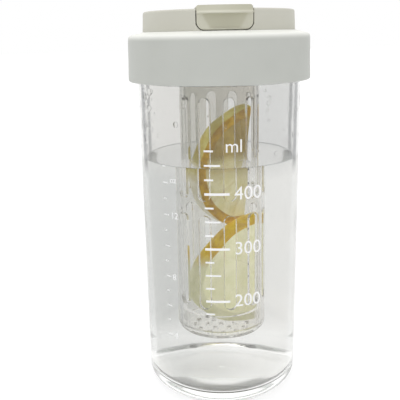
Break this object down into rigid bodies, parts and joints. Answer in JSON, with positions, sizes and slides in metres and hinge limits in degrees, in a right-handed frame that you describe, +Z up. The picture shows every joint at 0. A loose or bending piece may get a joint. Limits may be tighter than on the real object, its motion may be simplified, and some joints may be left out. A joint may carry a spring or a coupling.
{
  "type": "infuser tumbler",
  "caption": "clear drinking tumbler with a screw-on lid, a flip-top spout, and a slotted infuser tube that hangs from the lid to hold fruit",
  "frame": {"origin": "centre of the base, on the surface that the tumbler stands on", "axes": "+Z up along the tumbler's axis, -Y towards the thumb tab of the flip cap, +X to the right as seen from the tab"},
  "size_m": [0.0848, 0.0848, 0.1842],
  "materials": {
    "clear_cup": "clear, polished",
    "clear_infuser": "clear, polished",
    "collar_white": "satin",
    "dome_ivory": "matte",
    "cap_cream": "fine matte",
    "liner_white": "natural polypropylene",
    "silicone": "matte silicone",
    "pin_steel": "drawn wire"
  },
  "bodies": {
    "cup": {"cup_body": "clear_cup"},
    "gasket": {"lid_gasket": "silicone"},
    "lid": {"lid_liner": "liner_white", "lid_collar": "collar_white", "lid_dome": "dome_ivory", "flip_pin": "pin_steel"},
    "flip": {"flip_cap": "cap_cream", "spout_seal": "silicone"},
    "infuser": {"infuser_tube": "clear_infuser", "infuser_strainer": "clear_infuser"}
  },
  "joints": [
    {"name": "lid_rise", "type": "slide", "parent": "cup", "child": "gasket", "axis": [0, 0, 1], "range_m": [0, 0.144]},
    {"name": "lid_turn", "type": "hinge", "parent": "gasket", "child": "lid", "pos_m": [0, 0, 0.166], "axis": [0, 0, 1], "range_deg": [0, 2160]},
    {"name": "flip_open", "type": "hinge", "parent": "lid", "child": "flip", "pos_m": [0, 0.009, 0.1806], "axis": [-1, 0, 0], "range_deg": [0, 130]},
    {"name": "infuser_pull", "type": "slide", "parent": "lid", "child": "infuser", "axis": [0, 0, -1], "range_m": [0, 0.014]}
  ],
  "couplings": [
    {"joint": "lid_rise", "follows": "lid_turn", "m_per_rad": 0.0038197}
  ]
}
